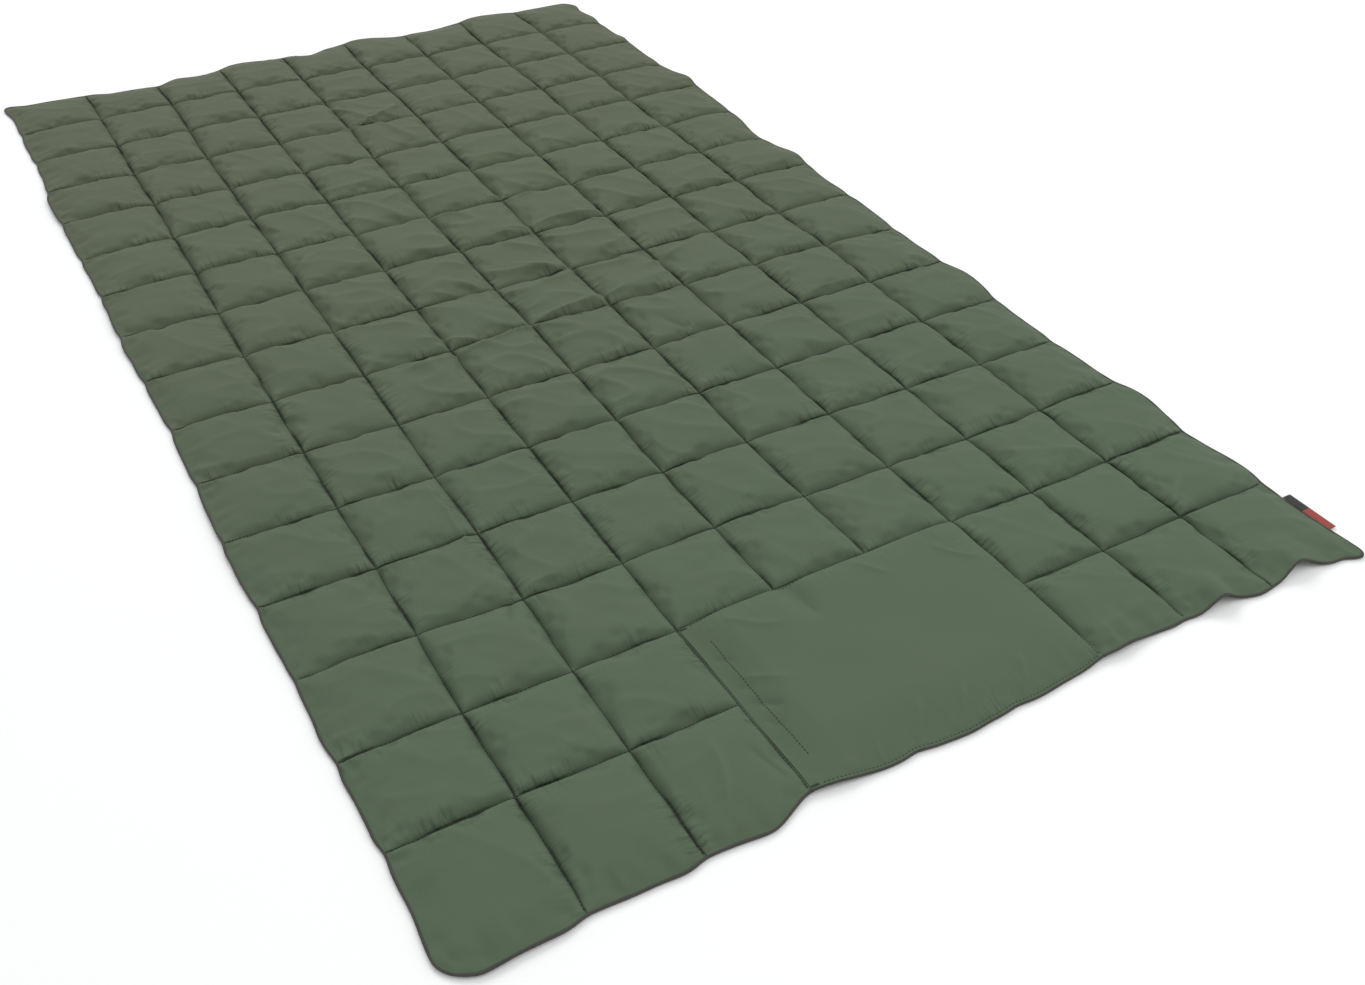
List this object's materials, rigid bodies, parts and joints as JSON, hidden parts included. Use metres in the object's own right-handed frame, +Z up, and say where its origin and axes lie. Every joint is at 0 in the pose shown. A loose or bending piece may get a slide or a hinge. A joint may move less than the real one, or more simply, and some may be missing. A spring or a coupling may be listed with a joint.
{
  "type": "camp blanket",
  "caption": "Light quilted camp blanket lying flat, stitched in square cells, with a bound edge, a flat stow pocket at one end and a small side label; it folds in thirds lengthwise",
  "frame": {"origin": "on the ground under the middle of the blanket, in the flat underside of the lining", "axes": "+Y along the blanket away from the pocket end, +X across it towards the side with the label, +Z up"},
  "size_m": [1.0823, 1.906, 0.02],
  "materials": {
    "shell_fabric": "soft matt woven polyester",
    "lining_fabric": "soft matt woven polyester",
    "filling": "loose polyester filling",
    "binding_tape": "matt woven tape",
    "thread": "matt polyester thread",
    "label_black": "woven satin",
    "label_red": "woven satin"
  },
  "bodies": {
    "middle_third": {"lining_middle": "lining_fabric", "batting_middle": "filling", "top_shell_middle": "shell_fabric", "quilt_stitching_middle": "thread", "binding_middle_near": "binding_tape", "binding_middle_far": "binding_tape", "pocket_panel": "shell_fabric", "pocket_stitching": "thread", "mouth_tack_near": "thread", "mouth_tack_far": "thread"},
    "left_third": {"lining_left": "lining_fabric", "batting_left": "filling", "top_shell_left": "shell_fabric", "quilt_stitching_left": "thread", "binding_left": "binding_tape"},
    "right_third": {"lining_right": "lining_fabric", "batting_right": "filling", "top_shell_right": "shell_fabric", "quilt_stitching_right": "thread", "binding_right": "binding_tape"},
    "pocket_lip": {"pocket_hem": "shell_fabric", "hem_stitching": "thread"},
    "side_label": {"label_dark": "label_black", "label_red": "label_red"}
  },
  "joints": [
    {"name": "left_fold", "type": "hinge", "parent": "middle_third", "child": "left_third", "pos_m": [-0.18093, 0, 0.0204], "axis": [0, 1, 0], "range_deg": [0, 179.9]},
    {"name": "right_fold", "type": "hinge", "parent": "middle_third", "child": "right_third", "pos_m": [0.18093, 0, 0.0312], "axis": [0, -1, 0], "range_deg": [0, 179.9]},
    {"name": "pocket_mouth", "type": "hinge", "parent": "middle_third", "child": "pocket_lip", "pos_m": [-0.14843, -0.82805, 0.0144], "axis": [0, 1, 0], "range_deg": [0, 12]},
    {"name": "label_flap", "type": "hinge", "parent": "right_third", "child": "side_label", "pos_m": [0.536, -0.884, 0.0026], "axis": [0, -1, 0], "range_deg": [0, 80]}
  ]
}
